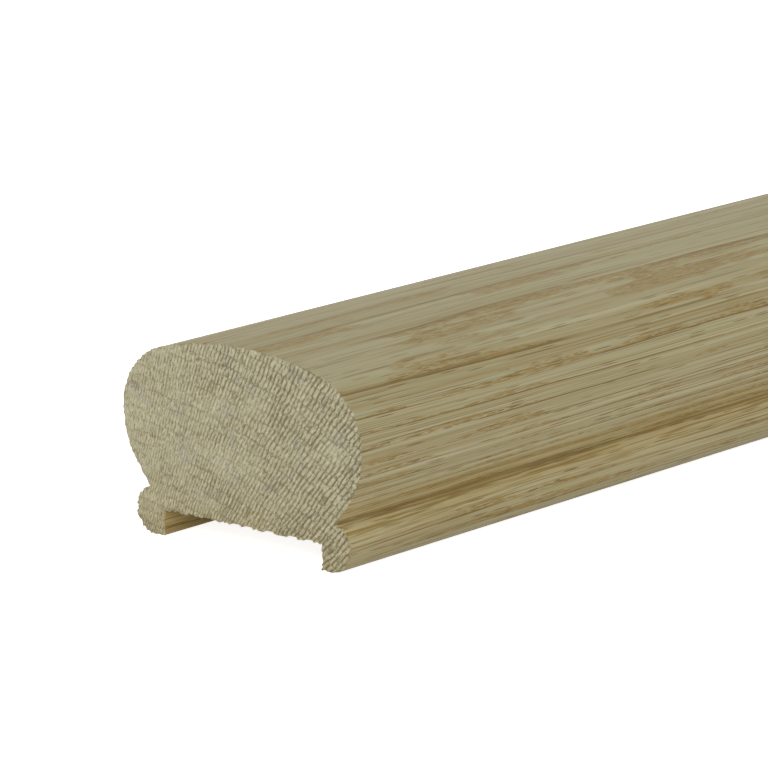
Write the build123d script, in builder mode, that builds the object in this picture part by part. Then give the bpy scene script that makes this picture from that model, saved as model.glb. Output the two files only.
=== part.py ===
from build123d import *
import os
from math import asin, degrees

# Crown handrail in one moulded length of solid oak, cut square at both ends.
# X runs along the rail, Y across it and Z up. The origin is at the middle of the
# rail's length and width, at the height of the beads' undersides.
# Sizes are in millimetres and angles in degrees.

rail_length = 2400

# The groove underneath takes the tops of square balusters and the strips between them.
groove_width = 41
groove_depth = 5.3

# Each bead has a narrow flat sole beside the groove, and then turns outwards and up.
# The turn is counted from the bead's widest point to the neck.
sole_width = 2.3
bead_radius = 4.9
bead_turn = 75

# The flank leaves the neck as a straight slope and swells out to the rail's full width.
# The slope is counted from the vertical.
flank_straight = 5.5
flank_slope = 37
flank_radius = 17.5

# The crown is a shallow arc between two rounded shoulders.
shoulder_radius = 13.8
crown_radius = 78

with BuildPart() as handrail:
    with BuildSketch(Plane.YZ):
        with BuildLine():
            ceiling = Line((0, groove_depth), (groove_width / 2, groove_depth))
            wall = Line(ceiling @ 1, (groove_width / 2, 0))
            sole = Line(wall @ 1, (groove_width / 2 + sole_width, 0))
            bead = JernArc(sole @ 1, sole % 1, bead_radius, 90 + bead_turn)
            slope = PolarLine(bead @ 1, flank_straight, 90 - flank_slope)
            swell = JernArc(slope @ 1, slope % 1, flank_radius, flank_slope)

            # The crown's centre is on the rail's centre line, which sets where the
            # shoulder hands over to it.
            widest = swell @ 1
            crown_turn = degrees(
                asin((widest.X - shoulder_radius) / (crown_radius - shoulder_radius))
            )
            shoulder = JernArc(widest, swell % 1, shoulder_radius, 90 - crown_turn)
            crown = JernArc(shoulder @ 1, shoulder % 1, crown_radius, crown_turn)
            mirror(about=Plane.YZ)
        make_face()
    extrude(amount=rail_length / 2, both=True)

handrail.part.label = "handrail"

size = handrail.part.bounding_box().size
print(f"rail {size.X:.1f} long, {size.Y:.2f} wide, {size.Z:.2f} high")

os.makedirs("parts", exist_ok=True)
export_step(handrail.part, "parts/handrail.step")
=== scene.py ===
"""Crown handrail: one moulded length of solid oak, sawn square at both ends.

The rail is drawn again at the frame's sizes with true arcs, its two ends get the relief that the
saw tore in them, and both kinds of surface get oak that is worked out from one set of growth rings.
Lengths are in metres for the rail and the studio, and in millimetres for the wood and the saw's
relief. X runs along the rail, Y across it and Z up.
"""

import logging
import math
from dataclasses import dataclass, field
from enum import Enum

import bpy
from mathutils import Matrix, Vector, kdtree, noise


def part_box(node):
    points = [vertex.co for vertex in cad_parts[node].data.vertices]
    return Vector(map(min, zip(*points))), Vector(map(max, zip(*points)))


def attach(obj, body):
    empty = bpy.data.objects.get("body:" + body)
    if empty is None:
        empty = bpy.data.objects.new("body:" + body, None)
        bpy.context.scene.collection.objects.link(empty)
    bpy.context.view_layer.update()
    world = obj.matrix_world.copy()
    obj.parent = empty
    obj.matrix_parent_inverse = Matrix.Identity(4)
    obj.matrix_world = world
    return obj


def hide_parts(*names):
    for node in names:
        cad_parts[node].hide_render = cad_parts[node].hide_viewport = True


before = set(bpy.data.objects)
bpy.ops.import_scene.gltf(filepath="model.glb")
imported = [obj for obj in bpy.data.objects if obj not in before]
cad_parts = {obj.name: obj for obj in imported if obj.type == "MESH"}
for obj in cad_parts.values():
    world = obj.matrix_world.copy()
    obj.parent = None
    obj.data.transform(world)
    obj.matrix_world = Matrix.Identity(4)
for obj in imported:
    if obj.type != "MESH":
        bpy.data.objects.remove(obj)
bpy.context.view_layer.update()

log = logging.getLogger("handrail")

MM = 0.001
HOLLOW = "hollow"
TURNS = "ring_turns"

Triple = tuple[float, float, float]
Colour = Triple
Socket = bpy.types.NodeSocket


class Face(Enum):
    """The two kinds of surface that the rail has."""

    PLANED = 0
    SAWN = 1


def deselect_all() -> None:
    """Leaves object mode with nothing selected."""
    if bpy.context.object and bpy.context.object.mode != "OBJECT":
        bpy.ops.object.mode_set(mode="OBJECT")
    bpy.ops.object.select_all(action="DESELECT")


@dataclass(frozen=True)
class Ramp:
    """A smooth step from one value to another, with what each of the two gives."""

    low: float
    high: float
    to_low: float = 0.0
    to_high: float = 1.0

    def at(self, value: float) -> float:
        """Maps a value, clamped.

        Args:
            value: What is mapped.

        Returns:
            The result, from to_low to to_high.
        """
        share = min(1.0, max(0.0, (value - self.low) / (self.high - self.low)))
        smooth = share * share * (3.0 - 2.0 * share)
        return self.to_low + (self.to_high - self.to_low) * smooth


@dataclass(frozen=True)
class Grain:
    """How large the grain of a pattern is, in millimetres, and how finely it is broken up.

    The sizes run along the log, around its rings and out from its pith, or along X, Y and Z.
    """

    along: float
    around: float
    out: float
    detail: float = 2.0
    rough: float = 0.5


@dataclass(frozen=True)
class Layer:
    """A pattern of the wood, and how its noise becomes a share of colour."""

    grain: Grain
    ramp: Ramp


@dataclass(frozen=True)
class Streaks:
    """A pattern whose low noise darkens the wood and whose high noise brightens it."""

    grain: Grain
    dark: Ramp
    pale: Ramp


@dataclass(frozen=True)
class Bump:
    """How much of a bump shows, and how deep a height of 1 is in millimetres."""

    strength: float
    depth_mm: float


@dataclass(frozen=True)
class Tree:
    """Where the rail was cut from the log, as seen on its end.

    The rings are arcs about the pith. The saw's tear lines fan out of a point of their own.
    """

    pith_mm: tuple[float, float] = (38.0, -98.0)
    tear_mm: tuple[float, float] = (50.0, -72.0)
    ring_mm: float = 2.22
    ring_start_mm: float = 145.4

    def radius(self, y_mm: float, z_mm: float) -> float:
        """The distance of a place on the end from the pith."""
        return math.hypot(y_mm - self.pith_mm[0], z_mm - self.pith_mm[1])

    def ring_turns(self, y_mm: float, z_mm: float) -> float:
        """Counts the rings outwards from ring_start_mm.

        Args:
            y_mm: Place across the rail.
            z_mm: Height.

        Returns:
            The number of rings, whose fraction is 0 where a ring's porous wood begins.
        """
        return (self.radius(y_mm, z_mm) - self.ring_start_mm) / self.ring_mm

    def tear_place(self, y_mm: float, z_mm: float) -> tuple[float, float]:
        """Turns a place on the end into one across and along the tear lines.

        Args:
            y_mm: Place across the rail.
            z_mm: Height.

        Returns:
            The distance around the fan's centre at a middle radius, and the distance out from it.
        """
        across, up = y_mm - self.tear_mm[0], z_mm - self.tear_mm[1]
        radius = math.hypot(across, up)
        middle = math.hypot(*self.tear_mm)
        return math.atan2(across, up) * middle, radius


class NodeBench:
    """Lays and links the nodes of one material."""

    def __init__(self, name: str) -> None:
        """Starts a material with a Principled shader.

        Args:
            name: The material's name.
        """
        self.material = bpy.data.materials.new(name)
        self.material.use_nodes = True
        self.tree = self.material.node_tree
        self.shader = self.tree.nodes["Principled BSDF"]

    def add(self, kind: str, **settings: object) -> bpy.types.Node:
        """Adds a node.

        Args:
            kind: The node's type.
            settings: Properties to set on it.

        Returns:
            The new node.
        """
        made = self.tree.nodes.new(kind)
        for name, value in settings.items():
            setattr(made, name, value)
        return made

    def put(self, socket: Socket, value: object) -> None:
        """Links a socket to another, or sets it to a plain value.

        Args:
            socket: The input socket.
            value: The output socket that it is linked to, or its value.
        """
        if isinstance(value, Socket):
            self.tree.links.new(value, socket)
        else:
            socket.default_value = value

    def math(self, operation: str, *values: object, clamp: bool = False) -> Socket:
        """Adds a Math node.

        Args:
            operation: What it does.
            values: Its inputs, as sockets or numbers.
            clamp: True to keep the result from 0 to 1.

        Returns:
            The result.
        """
        made = self.add("ShaderNodeMath", operation=operation, use_clamp=clamp)
        for socket, value in zip(made.inputs, values):
            self.put(socket, value)
        return made.outputs[0]

    def vector(self, operation: str, first: object, second: object) -> Socket:
        """Adds a Vector Math node.

        Args:
            operation: What it does.
            first: Its first vector.
            second: Its second vector, or for SCALE a number.

        Returns:
            The resulting vector.
        """
        made = self.add("ShaderNodeVectorMath", operation=operation)
        self.put(made.inputs[0], first)
        self.put(made.inputs["Scale" if operation == "SCALE" else 1], second)
        return made.outputs["Vector"]

    def times(self, first: object, *others: object) -> object:
        """Multiplies sockets or numbers.

        Args:
            first: The first of them.
            others: The rest, if any.

        Returns:
            The product.
        """
        product = first
        for value in others:
            product = self.math("MULTIPLY", product, value)
        return product

    def reach(self, across: Socket, up: Socket) -> Socket:
        """The distance that two offsets at a right angle make together."""
        return self.math("SQRT", self.math("ADD", self.times(across, across), self.times(up, up)))

    def parts(self, vector: Socket) -> list[Socket]:
        """Splits a vector.

        Args:
            vector: The vector.

        Returns:
            Its three numbers.
        """
        made = self.add("ShaderNodeSeparateXYZ")
        self.put(made.inputs[0], vector)
        return list(made.outputs)

    def joined(self, *numbers: Socket) -> Socket:
        """Joins three numbers.

        Args:
            numbers: The numbers.

        Returns:
            The vector that they make.
        """
        made = self.add("ShaderNodeCombineXYZ")
        for socket, number in zip(made.inputs, numbers):
            self.put(socket, number)
        return made.outputs[0]

    def texture(self, kind: str, place: Socket, grain: Grain) -> bpy.types.Node:
        """Adds a texture of a given grain.

        Args:
            kind: The texture node's type.
            place: The place in millimetres.
            grain: The texture's grain.

        Returns:
            The texture node.
        """
        made = self.add(kind)
        per_mm = tuple(1 / size for size in (grain.along, grain.around, grain.out))
        self.put(made.inputs["Vector"], self.vector("MULTIPLY", place, per_mm))
        self.put(made.inputs["Scale"], 1.0)
        return made

    def noise(self, place: Socket, grain: Grain) -> bpy.types.Node:
        """Adds a noise.

        Args:
            place: The place in millimetres.
            grain: The noise's grain.

        Returns:
            The noise node, whose level lies mostly from 0.25 to 0.75.
        """
        made = self.texture("ShaderNodeTexNoise", place, grain)
        self.put(made.inputs["Detail"], grain.detail)
        self.put(made.inputs["Roughness"], grain.rough)
        return made

    def ease(self, value: object, ramp: Ramp) -> Socket:
        """Maps a value with a smooth start and end, clamped.

        Args:
            value: What is mapped.
            ramp: How it is mapped.

        Returns:
            The result.
        """
        made = self.add("ShaderNodeMapRange", interpolation_type="SMOOTHSTEP")
        for name, number in (
            ("Value", value),
            ("From Min", ramp.low),
            ("From Max", ramp.high),
            ("To Min", ramp.to_low),
            ("To Max", ramp.to_high),
        ):
            self.put(made.inputs[name], number)
        return made.outputs["Result"]

    def layer(self, place: Socket, layer: Layer) -> Socket:
        """The share of a layer's colour at a place in millimetres."""
        return self.ease(self.noise(place, layer.grain).outputs["Fac"], layer.ramp)

    def lay(self, under: object, over: object, *shares: object) -> Socket:
        """Lays one colour over another.

        Args:
            under: The lower colour.
            over: The upper colour.
            shares: How much of the upper colour shows, as numbers that are multiplied.

        Returns:
            The mixed colour.
        """
        made = self.add("ShaderNodeMix", data_type="RGBA")
        self.put(made.inputs["Factor"], self.times(*shares))
        for socket, value in ((made.inputs[6], under), (made.inputs[7], over)):
            self.put(socket, (*value, 1.0) if isinstance(value, tuple) else value)
        return made.outputs[2]

    def place_mm(self) -> Socket:
        """The place on the rail in millimetres."""
        found = self.add("ShaderNodeTexCoord").outputs["Object"]
        return self.vector("SCALE", found, 1 / MM)

    def attribute(self, name: str) -> Socket:
        """A number that the mesh holds at each point."""
        return self.add("ShaderNodeAttribute", attribute_name=name).outputs["Fac"]

    def finish(self, colour: Socket, roughness: float, gloss: float) -> None:
        """Gives the shader its colour and its sheen.

        Args:
            colour: The colour.
            roughness: How rough the surface is.
            gloss: How strongly it shines.
        """
        self.put(self.shader.inputs["Base Color"], colour)
        self.put(self.shader.inputs["Roughness"], roughness)
        self.put(self.shader.inputs["Specular IOR Level"], gloss)

    def bump(self, height: Socket, bump: Bump) -> None:
        """Sends a height to the shader's normal.

        Args:
            height: The height from 0 to 1.
            bump: The bump that it makes.
        """
        made = self.add("ShaderNodeBump")
        self.put(made.inputs["Strength"], bump.strength)
        self.put(made.inputs["Distance"], bump.depth_mm * MM)
        self.put(made.inputs["Height"], height)
        self.put(self.shader.inputs["Normal"], made.outputs["Normal"])


@dataclass(frozen=True)
class RingLine:
    """The thin dark line at the start of a ring: where in the ring it lies, and its gaps."""

    rise: Ramp
    fall: Ramp
    gaps: Layer

    def share(self, bench: NodeBench, ring_share: Socket, place: Socket) -> Socket:
        """Finds the line.

        Args:
            bench: The material's bench.
            ring_share: How far through its ring a point lies.
            place: The place in millimetres, for the gaps.

        Returns:
            How much of the line shows.
        """
        rise = bench.ease(ring_share, self.rise)
        fall = bench.ease(ring_share, self.fall)
        return bench.times(rise, fall, bench.layer(place, self.gaps))


@dataclass(frozen=True)
class Log:
    """A material's view of the tree: where a point lay in it, and in which ring."""

    bench: NodeBench
    place: Socket
    ring: Socket
    share: Socket

    def noise(self, grain: Grain) -> Socket:
        """The level of a noise that follows the log."""
        return self.bench.noise(self.place, grain).outputs["Fac"]

    def layer(self, layer: Layer) -> Socket:
        """The share of colour of a layer that follows the log."""
        return self.bench.layer(self.place, layer)

    def cells(self, grain: Grain) -> tuple[Socket, Socket]:
        """Cells that follow the log.

        Args:
            grain: The cells' grain.

        Returns:
            The distance from the nearest cell's middle, and that cell's own random number.
        """
        made = self.bench.texture("ShaderNodeTexVoronoi", self.place, grain)
        split = self.bench.add("ShaderNodeSeparateColor")
        self.bench.put(split.inputs[0], made.outputs["Color"])
        return made.outputs["Distance"], split.outputs[0]


@dataclass(frozen=True)
class Wood:
    """What both surfaces share: the tree and how its grain wanders."""

    tree: Tree = Tree()
    wander: tuple[tuple[float, Grain], ...] = (
        (6.0, Grain(420.0, 70.0, 70.0, 1.0)),
        (1.0, Grain(110.0, 14.0, 14.0, 1.0)),
        (0.16, Grain(20.0, 3.0, 3.0, 1.0)),
    )
    uneven_rings: float = 1.2
    uneven_grain: Grain = Grain(900.0, 60.0, 7.0, 1.0)

    def log(self, bench: NodeBench) -> Log:
        """Works out where a point lay in the tree.

        Args:
            bench: The material's bench.

        Returns:
            The material's view of the tree.
        """
        place = bench.place_mm()
        for reach_mm, grain in self.wander:
            drift = bench.noise(place, grain).outputs["Color"]
            centred = bench.vector("SUBTRACT", drift, (0.5, 0.5, 0.5))
            shift = bench.vector("MULTIPLY", centred, (0.0, reach_mm, reach_mm))
            place = bench.vector("ADD", place, shift)

        pith_y, pith_z = self.tree.pith_mm
        along, across, up = bench.parts(bench.vector("SUBTRACT", place, (0.0, pith_y, pith_z)))
        radius = bench.reach(across, up)
        around = bench.times(bench.math("ARCTAN2", across, up), self.tree.ring_start_mm)
        log_place = bench.joined(along, around, radius)

        grown = bench.math("SUBTRACT", radius, self.tree.ring_start_mm)
        turns = bench.math("DIVIDE", grown, self.tree.ring_mm)
        uneven = bench.noise(log_place, self.uneven_grain).outputs["Fac"]
        turns = bench.math("ADD", turns, bench.times(uneven, self.uneven_rings))
        ring = bench.math("FLOOR", turns)
        return Log(bench, log_place, ring, bench.math("SUBTRACT", turns, ring))


@dataclass(frozen=True)
class Zones:
    """Where the planed faces differ, each as a share from 0 to 1.

    The wood is golden in the groove and along both necks, and painted lighter there against their
    shade. Just under each neck lies a thin dark seam, partly painted shade in the crease, and under
    it the wood is palest, with a painted highlight on the bead that the overhang shades. Its lines
    are softer on the crown, which runs along the rings, and above each neck.
    """

    neck: Socket
    painted_highlight: Socket
    seam: Socket
    groove: Socket
    clear: Socket


@dataclass(frozen=True)
class Cutters:
    """Where on the section the wood differs, in millimetres.

    The cutters left the wood golden at the necks and in the groove, with a dark seam in each
    neck's crease. Painted light lifts the necks, the groove and the bead just under each neck out
    of their shade, and painted shade deepens the seam.

    The neck's ramps go by the distance from it, and under_neck and soft_slope by the height above.
    """

    neck_mm: tuple[float, float] = (24.07, 9.63)
    groove_mm: tuple[float, float] = (20.7, 5.5)
    gold_share: float = 0.8
    near_neck: Ramp = Ramp(8.0, 2.0)
    under_neck: Ramp = Ramp(0.6, 0.2, 0.0, 0.6)
    # A painted highlight on the bead just under each neck, where the overhang shades it.
    painted_highlight: Ramp = Ramp(3.4, 1.0)
    # The dark seam in each neck's crease: partly a dark line in the wood, partly painted shade.
    seam: Ramp = Ramp(0.8, 0.3)
    soft_slope: Ramp = Ramp(0.4, 1.4, 0.0, 0.25)
    soft_crown: Ramp = Ramp(33.0, 40.0, 0.0, 0.35)

    def zones(self, bench: NodeBench) -> Zones:
        """Finds those places.

        Args:
            bench: The material's bench.

        Returns:
            The zones.
        """
        _, across, up = bench.parts(bench.place_mm())
        aside = bench.math("ABSOLUTE", across)
        half_width, depth = self.groove_mm
        between = bench.math("LESS_THAN", aside, half_width)
        inside = bench.times(between, bench.math("LESS_THAN", up, depth))

        neck_y, neck_z = self.neck_mm
        above = bench.math("SUBTRACT", up, neck_z)
        distance = bench.reach(bench.math("SUBTRACT", aside, neck_y), above)
        near = bench.ease(distance, self.near_neck)
        under = bench.ease(above, self.under_neck)

        slope = bench.times(near, bench.ease(above, self.soft_slope))
        softened = bench.math("MAXIMUM", slope, bench.ease(up, self.soft_crown))
        return Zones(
            neck=bench.times(near, self.gold_share),
            painted_highlight=bench.times(bench.ease(distance, self.painted_highlight), under),
            seam=bench.times(bench.ease(distance, self.seam), under),
            groove=bench.times(inside, self.gold_share),
            clear=bench.math("SUBTRACT", 1.0, softened),
        )


@dataclass(frozen=True)
class PorousBands:
    """The porous wood that some rings begin with, which swells into long lens-shaped patches."""

    swell: Layer = Layer(Grain(38.0, 4.0, 9.0), Ramp(0.46, 0.72, 0.02, 0.66))
    vigour: float = 0.20
    start: Ramp = Ramp(0.0, 0.05)
    fade: Ramp = Ramp(0.0, 0.4)
    fleck: Layer = Layer(Grain(2.4, 0.26, 0.26), Ramp(0.40, 0.58, 0.2, 1.0))
    strength: float = 0.9

    def share(self, log_view: Log) -> Socket:
        """Finds the patches, which are stronger in some rings than in others.

        Args:
            log_view: The material's view of the tree.

        Returns:
            How much of the patches' colour shows.
        """
        bench = log_view.bench
        vigour = bench.add("ShaderNodeTexWhiteNoise", noise_dimensions="1D")
        bench.put(vigour.inputs["W"], log_view.ring)
        swell = log_view.noise(self.swell.grain)
        swell = bench.math("ADD", swell, bench.times(vigour.outputs["Value"], self.vigour))
        width = bench.ease(swell, self.swell.ramp)
        inside = bench.math("SUBTRACT", 1.0, bench.math("DIVIDE", log_view.share, width), clamp=True)
        band = bench.times(bench.ease(inside, self.fade), bench.ease(log_view.share, self.start))
        return bench.times(band, log_view.layer(self.fleck), self.strength)


@dataclass(frozen=True)
class PlanedOak:
    """The moulded long faces: fine grain lines, pores and golden patches that run with the rail."""

    wood: Wood = Wood()
    cutters: Cutters = Cutters()

    pale: Colour = (0.358, 0.322, 0.182)
    bright: Colour = (0.465, 0.425, 0.270)
    tan: Colour = (0.322, 0.276, 0.141)
    gold: Colour = (0.272, 0.182, 0.052)
    line: Colour = (0.160, 0.098, 0.024)
    # neck and groove are golden tones, lifted by painted light against their shade. The colour after
    # neck is a painted highlight for the bead under each neck.
    neck: Colour = (0.492, 0.412, 0.206)
    painted_highlight: Colour = (0.660, 0.520, 0.255)
    groove: Colour = (0.468, 0.332, 0.108)

    broad: Layer = Layer(Grain(300.0, 16.0, 3.0, 3.0), Ramp(0.40, 0.62))
    late: Ramp = Ramp(0.5, 1.0, 0.0, 0.3)
    wide: Streaks = Streaks(
        Grain(120.0, 2.4, 0.62), Ramp(0.46, 0.32, 0.0, 0.38), Ramp(0.52, 0.68, 0.0, 0.6)
    )
    fine: Streaks = Streaks(
        Grain(130.0, 1.0, 0.22), Ramp(0.50, 0.34, 0.0, 0.45), Ramp(0.53, 0.70, 0.0, 0.45)
    )
    thread: Layer = Layer(Grain(70.0, 0.55, 0.17), Ramp(0.43, 0.33, 0.0, 0.7))
    patches: PorousBands = PorousBands()
    neck_streak: Layer = Layer(Grain(22.0, 0.6, 0.18), Ramp(0.50, 0.60))
    pore: Layer = Layer(Grain(7.5, 0.26, 0.26), Ramp(0.50, 0.28, 0.0, 0.85))
    pores_in_patches: float = 0.65
    pores_elsewhere: float = 0.08
    hairline: RingLine = RingLine(
        Ramp(0.0, 0.03), Ramp(0.14, 0.05), Layer(Grain(60.0, 3.0, 9.0), Ramp(0.40, 0.56, 0.0, 0.9))
    )

    roughness: float = 0.62
    gloss: float = 0.3
    fine_height: float = 0.3
    bump: Bump = Bump(0.35, 0.06)

    def material(self) -> bpy.types.Material:
        """Makes the finish.

        Returns:
            The material.
        """
        bench = NodeBench("planed_oak")
        log_view = self.wood.log(bench)
        zones = self.cutters.zones(bench)

        # Broad, soft bands of paler and browner wood.
        colour = bench.lay(self.pale, self.tan, log_view.layer(self.broad))
        colour = bench.lay(colour, self.tan, bench.ease(log_view.share, self.late))
        # Golden wood along the necks and in the groove, lifted by painted light against their shade.
        # Under each neck, a painted highlight on the bead and a dark seam that is partly painted
        # shade.
        colour = bench.lay(colour, self.neck, zones.neck)
        colour = bench.lay(colour, self.painted_highlight, zones.painted_highlight)
        colour = bench.lay(colour, self.gold, zones.seam)
        colour = bench.lay(colour, self.groove, zones.groove)

        # Browner and paler streaks lie all over. The finer ones stand out in the relief too.
        for streaks in (self.wide, self.fine):
            level = log_view.noise(streaks.grain)
            colour = bench.lay(colour, self.gold, bench.ease(level, streaks.dark), zones.clear)
            colour = bench.lay(colour, self.bright, bench.ease(level, streaks.pale), zones.clear)
        relief = bench.times(level, self.fine_height)

        # Thin dark lines run straight for a finger's length or more.
        colour = bench.lay(colour, self.line, log_view.layer(self.thread), zones.clear)

        # Golden patches, made of flecks, lie along some rings, and brown streaks along the necks.
        patch = self.patches.share(log_view)
        colour = bench.lay(colour, self.gold, patch)
        colour = bench.lay(colour, self.gold, log_view.layer(self.neck_streak), zones.neck)

        # The pores are cut lengthwise, into dark dashes. Few lie outside the patches.
        distance, chance = log_view.cells(self.pore.grain)
        common = bench.math("ADD", bench.times(patch, self.pores_in_patches), self.pores_elsewhere)
        cut = bench.math("GREATER_THAN", common, chance)
        pore = bench.times(bench.ease(distance, self.pore.ramp), cut, zones.clear)
        colour = bench.lay(colour, self.line, pore)

        # A dark hairline closes most rings.
        hairline = self.hairline.share(bench, log_view.share, log_view.place)
        colour = bench.lay(colour, self.line, hairline, zones.clear)

        bench.finish(colour, self.roughness, self.gloss)
        bench.bump(bench.math("SUBTRACT", relief, pore), self.bump)
        return bench.material


@dataclass(frozen=True)
class SawnOak:
    """The sawn ends: pale torn fibres over the growth rings, with dark hollows between them.

    The hollows are the saw's relief, darkened further by painted shade. Fibres finer than the mesh
    get a painted highlight on their tops and painted shade in their gaps.
    """

    wood: Wood = Wood()

    # bright is partly the fibres' pale tone and partly painted highlight. dark is painted shade in the
    # hollows, partly painted shade in the fibres' gaps, and the ring lines' own colour.
    pale: Colour = (0.468, 0.430, 0.286)
    bright: Colour = (0.640, 0.605, 0.435)
    warm: Colour = (0.420, 0.360, 0.205)
    dark: Colour = (0.165, 0.138, 0.066)
    brown: Colour = (0.340, 0.262, 0.160)
    ash: Colour = (0.395, 0.368, 0.300)

    cloud: Layer = Layer(Grain(60.0, 6.0, 4.0), Ramp(0.52, 0.70, 0.0, 0.6))
    blotch: Layer = Layer(Grain(60.0, 2.2, 1.6, 3.0), Ramp(0.57, 0.76, 0.0, 0.6))
    underside: Ramp = Ramp(15.0, 2.0, 0.0, 0.65)
    # How much painted shade each hollow gets, by its depth.
    hollow: Ramp = Ramp(0.15, 0.95, 0.0, 0.9)
    strands: Streaks = Streaks(
        Grain(0.22, 1.0, 1.0, 2.0, 0.6), Ramp(0.47, 0.33, 0.0, 0.7), Ramp(0.53, 0.70, 0.0, 0.65)
    )
    ring_shift_mm: float = 7.7
    ring_edge: RingLine = RingLine(
        Ramp(0.0, 0.03), Ramp(0.13, 0.05), Layer(Grain(60.0, 4.0, 4.0), Ramp(0.46, 0.64, 0.0, 0.4))
    )

    roughness: float = 0.85
    gloss: float = 0.2
    bump: Bump = Bump(0.8, 0.14)

    def material(self) -> bpy.types.Material:
        """Makes the finish.

        Returns:
            The material.
        """
        bench = NodeBench("sawn_oak")
        place = bench.place_mm()

        # Soft patches are greyer, small ones browner, and the underside is warmer.
        colour = bench.lay(self.pale, self.ash, bench.layer(place, self.cloud))
        colour = bench.lay(colour, self.brown, bench.layer(place, self.blotch))
        height = bench.parts(place)[2]
        colour = bench.lay(colour, self.warm, bench.ease(height, self.underside))
        # Painted shade in the hollows of the saw's relief, by how deep they lie.
        colour = bench.lay(colour, self.dark, bench.ease(bench.attribute(HOLLOW), self.hollow))

        # Finer fibres than the relief holds stand out pale or leave dark gaps. The pale is partly
        # painted highlight, and the dark is partly painted shade.
        turns = bench.attribute(TURNS)
        ring = bench.math("FLOOR", turns)
        level = bench.noise(self.fan_place(bench, place, ring), self.strands.grain).outputs["Fac"]
        colour = bench.lay(colour, self.dark, bench.ease(level, self.strands.dark))
        colour = bench.lay(colour, self.bright, bench.ease(level, self.strands.pale))

        # A thin dark line parts some rings.
        edge = self.ring_edge.share(bench, bench.math("SUBTRACT", turns, ring), place)
        colour = bench.lay(colour, self.dark, edge)

        bench.finish(colour, self.roughness, self.gloss)
        bench.bump(level, self.bump)
        return bench.material

    def fan_place(self, bench: NodeBench, place: Socket, ring: Socket) -> Socket:
        """Turns a place into one across and along the saw's tear lines, apart in each ring.

        Args:
            bench: The material's bench.
            place: The place in millimetres.
            ring: The number of the ring.

        Returns:
            The distance across the lines, along them, and a number that the ring sets.
        """
        tear_y, tear_z = self.wood.tree.tear_mm
        _, across, up = bench.parts(bench.vector("SUBTRACT", place, (0.0, tear_y, tear_z)))
        around = bench.times(bench.math("ARCTAN2", across, up), math.hypot(tear_y, tear_z))
        return bench.joined(around, bench.reach(across, up), bench.times(ring, self.ring_shift_mm))


class OutlinePen:
    """Draws an outline in edit mode: straight runs by extrusion and round ones by spin."""

    def __init__(self, along: float, start: tuple[float, float], heading: float, chord: float) -> None:
        """Puts the first point down.

        Args:
            along: The X of the outline's plane.
            start: The point's Y and Z.
            heading: The way that the pen faces, in degrees up from +Y.
            chord: About how long each edge is.
        """
        self.heading, self.chord = heading, chord
        self.at = Vector((along, *start))
        self.trail = [self.at.copy()]
        bpy.ops.mesh.primitive_plane_add(size=chord, location=self.at)
        self.piece = bpy.context.object
        bpy.ops.object.mode_set(mode="EDIT")
        bpy.ops.mesh.select_all(action="SELECT")
        bpy.ops.mesh.merge(type="CENTER")

    def facing(self, degrees: float = 0.0) -> Vector:
        """The unit vector that many degrees to the left of the pen's heading."""
        angle = math.radians(self.heading + degrees)
        return Vector((0.0, math.cos(angle), math.sin(angle)))

    def run(self, length: float) -> None:
        """Draws a straight run.

        Args:
            length: How long it is.
        """
        steps = max(1, round(length / self.chord))
        stride = self.facing() * (length / steps)
        for _ in range(steps):
            bpy.ops.mesh.extrude_region_move(TRANSFORM_OT_translate={"value": stride})
            self.at += stride
            self.trail.append(self.at.copy())

    def turn(self, degrees: float) -> None:
        """Turns on the spot, to the left if positive."""
        self.heading += degrees

    def arc(self, radius: float, degrees: float) -> None:
        """Draws a round stretch that turns to the left.

        Args:
            radius: Its radius.
            degrees: How far it turns.
        """
        steps = max(2, round(radius * math.radians(degrees) / self.chord))
        centre = self.at + self.facing(90.0) * radius
        bpy.ops.mesh.spin(
            steps=steps, angle=math.radians(degrees), center=centre, axis=(-1.0, 0.0, 0.0)
        )
        for step in range(1, steps + 1):
            self.at = centre - self.facing(90.0 + degrees * step / steps) * radius
            self.trail.append(self.at.copy())
        self.heading += degrees

    def lift(self) -> bpy.types.Object:
        """Ends the outline.

        Returns:
            The object that holds it, in object mode, with its origin at the frame's.
        """
        bpy.ops.object.mode_set(mode="OBJECT")
        bpy.ops.object.transform_apply(location=True, rotation=True, scale=True)
        return self.piece


@dataclass(frozen=True)
class Speckle:
    """A noise on the ends: the size of its grain, and which section of it is read."""

    across: float
    up: float
    section: float

    def at(self, across: float, up: float, seed: float = 0.0) -> float:
        """Reads the noise at two distances, in a section that the seed shifts."""
        return noise.noise(Vector((across / self.across, up / self.up, seed + self.section)))


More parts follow.
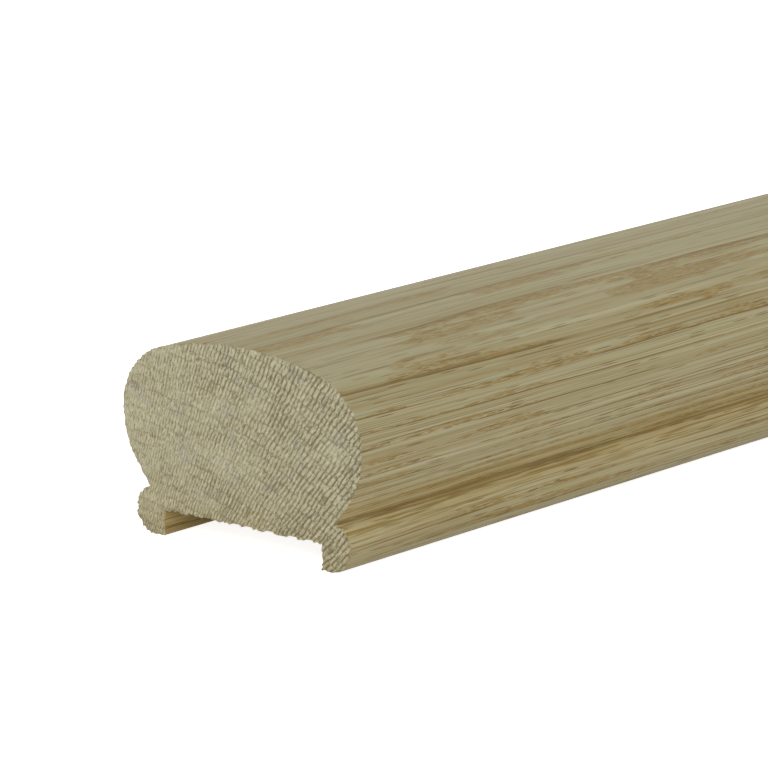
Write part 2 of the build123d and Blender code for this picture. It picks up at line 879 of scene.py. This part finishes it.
@dataclass(frozen=True)
class SawTear:
    """The relief that the saw left on the ends: bundles of fibre with torn gaps between them.

    The bundles stand in the rows that the rings make, and grow wider towards the rail's -Y side.
    The tear is deep there and along the underside, and shallower towards the +Y side.
    """

    tree: Tree = Tree()
    end_seed: float = 5.0
    depth_mm: float = 0.24

    # How strongly the wood tore, as a share.
    middle_strength: float = 0.80
    fade_per_mm: float = 0.005
    under_strength: float = 0.25
    under_fade_per_mm: float = 0.02
    cloud: Speckle = Speckle(7.0, 5.0, 3.1)
    cloud_strength: float = 0.40
    least_strength: float = 0.55

    # How wide the bundles are around the fan, and how unevenly the bundles and rows lie.
    narrow_mm: float = 0.58
    wide_mm: float = 0.80
    narrow_at_mm: float = -18.0
    wide_at_mm: float = -63.0
    uneven: Speckle = Speckle(5.0, 5.0, 2.0)
    uneven_rings: float = 0.22
    drift: float = 0.5
    drift_bundles: float = 3.0
    drift_per_ring: float = 0.6
    drift_per_row: float = 0.31

    # How high each bundle stands, and how it falls to its sides and ends.
    bundle_step: float = 3.7
    row_step: float = 5.3
    bundle_height: float = 0.841
    bundle_spread: float = 0.5225
    bundle_side: Ramp = Ramp(0.0, 0.70)
    bundle_end: Ramp = Ramp(0.0, 0.28, 0.45, 1.0)
    rough: Speckle = Speckle(0.4, 0.8, 4.0)
    rough_share: float = 0.30

    # The rings that the wood has opened along, by their distance from the pith.
    check_mm: tuple[float, ...] = (127.4, 138.2)
    check_wander: Speckle = Speckle(6.0, 6.0, 8.0)
    check_wander_mm: float = 0.8
    check_side: Ramp = Ramp(0.05, 0.22, 1.0, 0.0)
    check_gaps: Speckle = Speckle(2.5, 2.5, 6.0)
    check_gap: Ramp = Ramp(-0.35, 0.0)
    check_depth: float = 0.7

    # How the arris has crumbled, and its burr.
    chip_mm: float = 0.25
    chip_grain_mm: float = 0.6
    chip_share: Ramp = Ramp(-0.1, 0.5)
    burr_seed: float = 9.0
    burr_grain_mm: float = 0.8
    burr_mm: Ramp = Ramp(-0.18, 0.22, -0.26, 0.18)
    burr_under: Ramp = Ramp(9.0, 5.0)
    burr_aside: Ramp = Ramp(-12.0, 14.0, 0.0, 0.6)
    least_burr: float = 0.3

    def strength(self, y_mm: float, z_mm: float) -> float:
        """How strongly the wood tore at a place.

        Args:
            y_mm: Place across the rail.
            z_mm: Height.

        Returns:
            A share from 0 to 1.
        """
        sideways = self.middle_strength - self.fade_per_mm * y_mm
        below = max(0.0, self.under_strength - self.under_fade_per_mm * z_mm)
        cloud = self.cloud_strength * self.cloud.at(y_mm, z_mm)
        return min(1.0, max(self.least_strength, sideways + below + cloud))

    def bundles_across(self, across: float) -> float:
        """Counts the bundles around the tear lines' fan, for a width that grows evenly.

        Args:
            across: The distance around the fan.

        Returns:
            The number of bundles up to there, from a fixed start.
        """
        growth = (self.wide_mm - self.narrow_mm) / (self.wide_at_mm - self.narrow_at_mm)
        width = self.narrow_mm + growth * (across - self.narrow_at_mm)
        return math.log(width) / growth

    def turns(self, y_mm: float, z_mm: float, seed: float) -> float:
        """Counts the rings at a place, a little unevenly.

        Args:
            y_mm: Place across the rail.
            z_mm: Height.
            seed: Sets the one end's pattern apart from the other's.

        Returns:
            The number of rings.
        """
        uneven = self.uneven.at(y_mm, z_mm, seed)
        return self.tree.ring_turns(y_mm, z_mm) + self.uneven_rings * uneven

    def hollow(self, y_mm: float, z_mm: float, seed: float) -> float:
        """How deep the end lies under the saw's plane.

        Args:
            y_mm: Place across the rail.
            z_mm: Height.
            seed: Sets the one end's pattern apart from the other's.

        Returns:
            A share from 0 on a bundle's top to 1 in a gap.
        """
        across, out = self.tree.tear_place(y_mm, z_mm)
        turns = self.turns(y_mm, z_mm, seed)
        row = math.floor(turns)
        count = self.bundles_across(across)
        across_rows = (count / self.drift_bundles, turns * self.drift_per_ring)
        count += self.drift * noise.noise(Vector((*across_rows, seed + row * self.drift_per_row)))
        bundle = math.floor(count)

        inward = 2.0 * min(count - bundle, 1.0 - count + bundle)
        along = 2.0 * min(turns - row, 1.0 - turns + row)
        rough = self.rough_share * self.rough.at(across, out, seed)
        own = noise.noise(Vector((bundle * self.bundle_step, row * self.row_step, seed)))
        top = self.bundle_side.at(inward + rough) * self.bundle_end.at(along)
        top *= self.bundle_height + self.bundle_spread * own
        depth = min(1.0, max(0.0, 1.0 - top)) * self.strength(y_mm, z_mm)
        return max(depth, self.check_depth * self.check(y_mm, z_mm))

    def check(self, y_mm: float, z_mm: float) -> float:
        """Finds the few rings that the wood has opened along.

        Args:
            y_mm: Place across the rail.
            z_mm: Height.

        Returns:
            1 in such a check, 0 outside.
        """
        radius = self.tree.radius(y_mm, z_mm)
        radius += self.check_wander_mm * self.check_wander.at(y_mm, z_mm)
        broken = self.check_gap.at(self.check_gaps.at(y_mm, z_mm))
        return max(self.check_side.at(abs(radius - line)) for line in self.check_mm) * broken

    def chip(self, place: Vector) -> float:
        """How far the end's arris has crumbled, in millimetres.

        Args:
            place: The place in millimetres, with the end's side as its X.

        Returns:
            The depth.
        """
        share = self.chip_share.at(noise.noise(place / self.chip_grain_mm))
        return share * self.chip_mm * self.strength(place.y, place.z)

    def burr(self, place: Vector) -> float:
        """How far the end's arris stands out of the section, or back from it, in millimetres.

        The saw came out of the wood on the +Y side and underneath, and left most of the burr there.

        Args:
            place: The place in millimetres, with the end's side as its X.

        Returns:
            The distance, which is negative where fibres broke off.
        """
        grain = self.burr_grain_mm
        shake = noise.noise(Vector((place.x + self.burr_seed, place.y / grain, place.z / grain)))
        way_out = max(self.least_burr, self.burr_under.at(place.z), self.burr_aside.at(place.y))
        return way_out * self.burr_mm.at(shake)


@dataclass
class Handrail:
    """The rail: its section, its length, its sawn ends and its finishes."""

    length: float = 2.400
    groove_width: float = 0.041
    groove_depth: float = 0.0053
    sole_width: float = 0.0023
    bead_radius: float = 0.0049
    bead_turn: float = 75.0
    flank_straight: float = 0.0055
    flank_slope: float = 37.0
    flank_radius: float = 0.0175
    shoulder_radius: float = 0.0138
    crown_radius: float = 0.078
    lip_easing: float = 0.0004

    # How finely the mesh is divided, and how its map is laid out.
    chord: float = 0.0004
    rim: float = 0.0003
    weld: float = 0.00002
    end_grid: float = 0.00024
    stations: tuple[float, ...] = (0.0008, 0.0020, 0.010)
    station_step: float = 0.200
    smooth_angle: float = 60.0
    map_edge: float = 0.004
    map_strip: float = 0.66

    tear: SawTear = field(default_factory=SawTear)
    planed: PlanedOak = field(default_factory=PlanedOak)
    sawn: SawnOak = field(default_factory=SawnOak)

    def draw_half(self) -> OutlinePen:
        """Draws half the section at the near end, from the groove's middle to the crown's.

        Returns:
            The pen, which holds the outline and its points in order.
        """
        pen = OutlinePen(-self.length / 2, (0.0, self.groove_depth), 0.0, self.chord)
        pen.run(self.groove_width / 2)
        pen.turn(-90.0)
        pen.run(self.groove_depth - self.lip_easing)
        pen.arc(self.lip_easing, 90.0)
        pen.run(self.sole_width - self.lip_easing)
        pen.arc(self.bead_radius, 90.0 + self.bead_turn)
        pen.turn(-self.bead_turn - self.flank_slope)
        pen.run(self.flank_straight)
        pen.arc(self.flank_radius, self.flank_slope)
        reach = (pen.at.y - self.shoulder_radius) / (self.crown_radius - self.shoulder_radius)
        crown_turn = math.degrees(math.asin(reach))
        pen.arc(self.shoulder_radius, 90.0 - crown_turn)
        pen.arc(self.crown_radius, crown_turn)
        return pen

    def mirror(self, rail: bpy.types.Object, axes: tuple[bool, bool, bool]) -> None:
        """Mirrors the rail, welds the seam and leaves it in edit mode with all selected.

        Args:
            rail: The rail, in object mode.
            axes: Which of X, Y and Z it is mirrored along.
        """
        modifier = rail.modifiers.new("other side", "MIRROR")
        modifier.use_axis = axes
        bpy.ops.object.modifier_apply(modifier=modifier.name)
        bpy.ops.object.mode_set(mode="EDIT")
        bpy.ops.mesh.select_all(action="SELECT")
        bpy.ops.mesh.remove_doubles(threshold=self.weld)

    def close_section(self, rail: bpy.types.Object) -> None:
        """Mirrors the half section, fills it and sets a rim apart inside its edge.

        Args:
            rail: The object that holds the half outline. It is left in edit mode.
        """
        self.mirror(rail, (False, True, False))
        bpy.ops.mesh.edge_face_add()
        bpy.ops.mesh.inset(thickness=self.rim, use_even_offset=True)

    def grid_end(self) -> None:
        """Cuts the end, inside its rim, into the fine squares that take the saw's relief.

        It works in edit mode, on the face that is selected.
        """
        bpy.ops.mesh.hide(unselected=True)
        low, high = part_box("handrail")
        for normal, lowest, highest in (
            ((0.0, 0.0, 1.0), low.z, high.z),
            ((0.0, 1.0, 0.0), low.y, high.y),
        ):
            count = round((highest - lowest) / self.end_grid)
            for cut in range(1, count):
                place = lowest + (highest - lowest) * cut / count
                bpy.ops.mesh.select_all(action="SELECT")
                bpy.ops.mesh.bisect(plane_co=[place * share for share in normal], plane_no=normal)
        bpy.ops.mesh.reveal(select=False)

    def draw_out(self, rail: bpy.types.Object) -> None:
        """Draws the section's edge out to the middle of the length and mirrors the other half.

        Args:
            rail: The rail, in edit mode. It is left in object mode.
        """
        bpy.ops.mesh.select_all(action="SELECT")
        bpy.ops.mesh.region_to_loop()
        half = self.length / 2
        steps = round(half / self.station_step)
        stops = [0.0, *self.stations, *(half * step / steps for step in range(1, steps + 1))]
        for here, there in zip(stops, stops[1:]):
            stride = (there - here, 0.0, 0.0)
            bpy.ops.mesh.extrude_edges_move(TRANSFORM_OT_translate={"value": stride})
        bpy.ops.object.mode_set(mode="OBJECT")
        self.mirror(rail, (True, False, False))
        bpy.ops.mesh.normals_make_consistent(inside=False)
        bpy.ops.object.mode_set(mode="OBJECT")

    def tear_ends(self, rail: bpy.types.Object) -> None:
        """Presses the saw's relief into both ends and crumbles their arrises.

        Args:
            rail: The rail.
        """
        mesh = rail.data

        # The end's own faces lie at the very end. The next ones are centred half a station inside.
        end = self.length / 2 - self.stations[0] / 4
        sawn = set()
        arris = set()
        for face in mesh.polygons:
            at_end = abs(face.center.x) > end
            face.material_index = Face.SAWN.value if at_end else Face.PLANED.value
            (sawn if at_end else arris).update(face.vertices)
        depths = mesh.attributes.new(name=HOLLOW, type="FLOAT", domain="POINT")
        rings = mesh.attributes.new(name=TURNS, type="FLOAT", domain="POINT")
        outwards = {}
        for index in sawn:
            point = mesh.vertices[index].co
            side = math.copysign(1.0, point.x)
            seed = self.tear.end_seed + side
            y_mm, z_mm = point.y / MM, point.z / MM
            hollow = self.tear.hollow(y_mm, z_mm, seed)
            depth = hollow * self.tear.depth_mm
            if index in arris:
                place = Vector((side, y_mm, z_mm))
                depth = self.tear.chip(place)
                outward = mesh.vertices[index].normal * Vector((0.0, 1.0, 1.0))
                outwards[index] = outward.normalized() * self.tear.burr(place) * MM
            point.x -= side * depth * MM
            depths.data[index].value = hollow
            rings.data[index].value = self.tear.turns(y_mm, z_mm, seed)
        for index, step in outwards.items():
            point = mesh.vertices[index].co
            point += step
            point.z = max(point.z, 0.0)

    def lay_out(self, rail: bpy.types.Object, trail: list[Vector]) -> None:
        """Gives the rail its map: the long faces as one strip, and the ends side by side.

        Args:
            rail: The rail.
            trail: The half outline's points in order, from the groove's middle to the crown's.
        """
        finder = kdtree.KDTree(len(trail))
        girths = [0.0] * len(trail)
        for index in reversed(range(len(trail) - 1)):
            girths[index] = girths[index + 1] + (trail[index] - trail[index + 1]).length
        for index, point in enumerate(trail):
            finder.insert((0.0, point.y, point.z), index)
        finder.balance()

        mesh = rail.data
        low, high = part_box("handrail")

        # Each end has half of the map's width, above the strip.
        scale = (0.5 - 2 * self.map_edge) / (high.y - low.y)
        layer = mesh.uv_layers.new(name="OFBake")
        for face in mesh.polygons:
            side = math.copysign(1.0, face.center.y)
            end = math.copysign(1.0, face.center.x)
            for corner in face.loop_indices:
                point = mesh.vertices[mesh.loops[corner].vertex_index].co
                if face.material_index == Face.SAWN.value:
                    across = 0.5 + end * 0.25 + end * point.y * scale
                    up = self.map_strip + 2 * self.map_edge + point.z * scale
                else:
                    nearest = finder.find((0.0, abs(point.y), point.z))[1]
                    round_share = 0.5 + 0.5 * side * girths[nearest] / girths[0]
                    along_share = 0.5 + point.x / self.length
                    across = self.map_edge + (1 - 2 * self.map_edge) * along_share
                    up = self.map_edge + (self.map_strip - self.map_edge) * round_share
                layer.data[corner].uv = (across, up)

    def dress(self, rail: bpy.types.Object) -> None:
        """Gives the rail its finishes and its place in the frame.

        Args:
            rail: The rail.
        """
        rail.data.materials.append(self.planed.material())
        rail.data.materials.append(self.sawn.material())
        deselect_all()
        rail.select_set(True)
        bpy.context.view_layer.objects.active = rail
        bpy.ops.object.shade_smooth_by_angle(angle=math.radians(self.smooth_angle))
        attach(rail, "root")
        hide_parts("handrail")

    def build(self) -> bpy.types.Object:
        """Makes the rail.

        Returns:
            The finished rail.
        """
        pen = self.draw_half()
        rail = pen.lift()
        rail.name = "oak_rail"
        self.close_section(rail)
        self.grid_end()
        self.draw_out(rail)
        self.tear_ends(rail)
        self.lay_out(rail, pen.trail)
        self.dress(rail)
        return rail


@dataclass(frozen=True)
class Viewpoint:
    """The camera: its place and its turn, as fitted to the rail's outline at its near end."""

    place: Triple = (-1.85962, -0.60577, 0.24273)
    yaw: float = 40.791
    pitch: float = 13.172
    roll: float = -0.552
    lens_mm: float = 225.4
    film_mm: float = 36.0
    nearest: float = 0.01
    farthest: float = 50.0

    def set_up(self) -> None:
        """Makes the camera and hands it to the scene."""
        bpy.ops.object.camera_add()
        camera = bpy.context.object
        camera.data.lens = self.lens_mm
        camera.data.sensor_width = self.film_mm
        camera.data.clip_start = self.nearest
        camera.data.clip_end = self.farthest
        turn = (
            Matrix.Rotation(math.radians(self.yaw - 90.0), 4, "Z")
            @ Matrix.Rotation(math.radians(90.0 - self.pitch), 4, "X")
            @ Matrix.Rotation(math.radians(self.roll), 4, "Z")
        )
        camera.matrix_world = Matrix.Translation(self.place) @ turn
        bpy.context.scene.camera = camera


@dataclass(frozen=True)
class Lamp:
    """One soft lamp, far enough off to light the whole length alike."""

    name: str
    shines_from: Triple
    strength: float
    spread: float

    def hang(self) -> None:
        """Adds the lamp to the scene."""
        bpy.ops.object.light_add(type="SUN")
        lamp = bpy.context.object
        lamp.name = self.name
        lamp.data.energy = self.strength
        lamp.data.angle = math.radians(self.spread)
        lamp.rotation_euler = Vector(self.shines_from).to_track_quat("Z", "Y").to_euler()


@dataclass
class Studio:
    """The pale floor, the soft light and the camera."""

    floor_size: float = 12.0
    floor_white: float = 0.9
    floor_glow: float = 0.86
    sky: float = 0.565
    lamps: tuple[Lamp, ...] = (
        Lamp("key", (-0.70, 0.10, 0.66), 0.95, 40.0),
        Lamp("fill", (-0.45, -0.89, 0.06), 1.46, 45.0),
    )
    viewpoint: Viewpoint = field(default_factory=Viewpoint)

    def seen_straight(self, nodes: bpy.types.Nodes, links: bpy.types.NodeLinks) -> Socket:
        """Adds the test for what the camera sees, straight, in gloss or through glass.

        Args:
            nodes: The nodes to add it to.
            links: Their links.

        Returns:
            1 for such a ray, 0 for the light's own bounces.
        """
        path = nodes.new("ShaderNodeLightPath")
        total = path.outputs["Is Camera Ray"]
        for name in ("Is Glossy Ray", "Is Transmission Ray"):
            larger = nodes.new("ShaderNodeMath")
            larger.operation = "MAXIMUM"
            links.new(total, larger.inputs[0])
            links.new(path.outputs[name], larger.inputs[1])
            total = larger.outputs[0]
        return total

    def lay_floor(self) -> None:
        """Lays the floor, which looks white but keeps the rail's shadow."""
        bpy.ops.mesh.primitive_plane_add(size=self.floor_size)
        floor = bpy.context.object
        floor.name = "floor"
        material = bpy.data.materials.new("pale_floor")
        material.use_nodes = True
        nodes, links = material.node_tree.nodes, material.node_tree.links
        nodes.clear()
        plain = nodes.new("ShaderNodeBsdfDiffuse")
        plain.inputs["Color"].default_value = (*[self.floor_white] * 3, 1.0)
        glow = nodes.new("ShaderNodeEmission")
        glow.inputs["Strength"].default_value = self.floor_glow
        bright = nodes.new("ShaderNodeAddShader")
        links.new(plain.outputs[0], bright.inputs[0])
        links.new(glow.outputs[0], bright.inputs[1])
        choice = nodes.new("ShaderNodeMixShader")
        links.new(self.seen_straight(nodes, links), choice.inputs[0])
        links.new(plain.outputs[0], choice.inputs[1])
        links.new(bright.outputs[0], choice.inputs[2])
        output = nodes.new("ShaderNodeOutputMaterial")
        links.new(choice.outputs[0], output.inputs["Surface"])
        floor.data.materials.append(material)

    def hang_sky(self) -> None:
        """Surrounds the scene with an even light that looks white to the camera."""
        world = bpy.data.worlds.new("studio")
        bpy.context.scene.world = world
        world.use_nodes = True
        nodes, links = world.node_tree.nodes, world.node_tree.links
        level = nodes.new("ShaderNodeMapRange")
        level.inputs["To Min"].default_value = self.sky
        level.inputs["To Max"].default_value = 1.0
        links.new(self.seen_straight(nodes, links), level.inputs["Value"])
        background = nodes["Background"]
        background.inputs["Color"].default_value = (1.0, 1.0, 1.0, 1.0)
        links.new(level.outputs["Result"], background.inputs["Strength"])

    def set_up(self) -> None:
        """Sets the whole studio up."""
        self.lay_floor()
        self.hang_sky()
        for lamp in self.lamps:
            lamp.hang()
        self.viewpoint.set_up()
        bpy.context.scene.view_settings.view_transform = "Standard"


def report(piece: bpy.types.Object) -> None:
    """Logs how large a piece is and how many faces it has.

    Args:
        piece: The piece.
    """
    size = " x ".join(f"{side / MM:.1f}" for side in piece.dimensions)
    log.info("%s: %s mm, %d faces", piece.name, size, len(piece.data.polygons))


def main() -> None:
    """Builds the rail and its studio, and writes how large it came out."""
    logging.basicConfig(level=logging.INFO, format="%(name)s: %(message)s")
    deselect_all()
    report(Handrail().build())
    Studio().set_up()


if __name__ == "__main__":
    main()
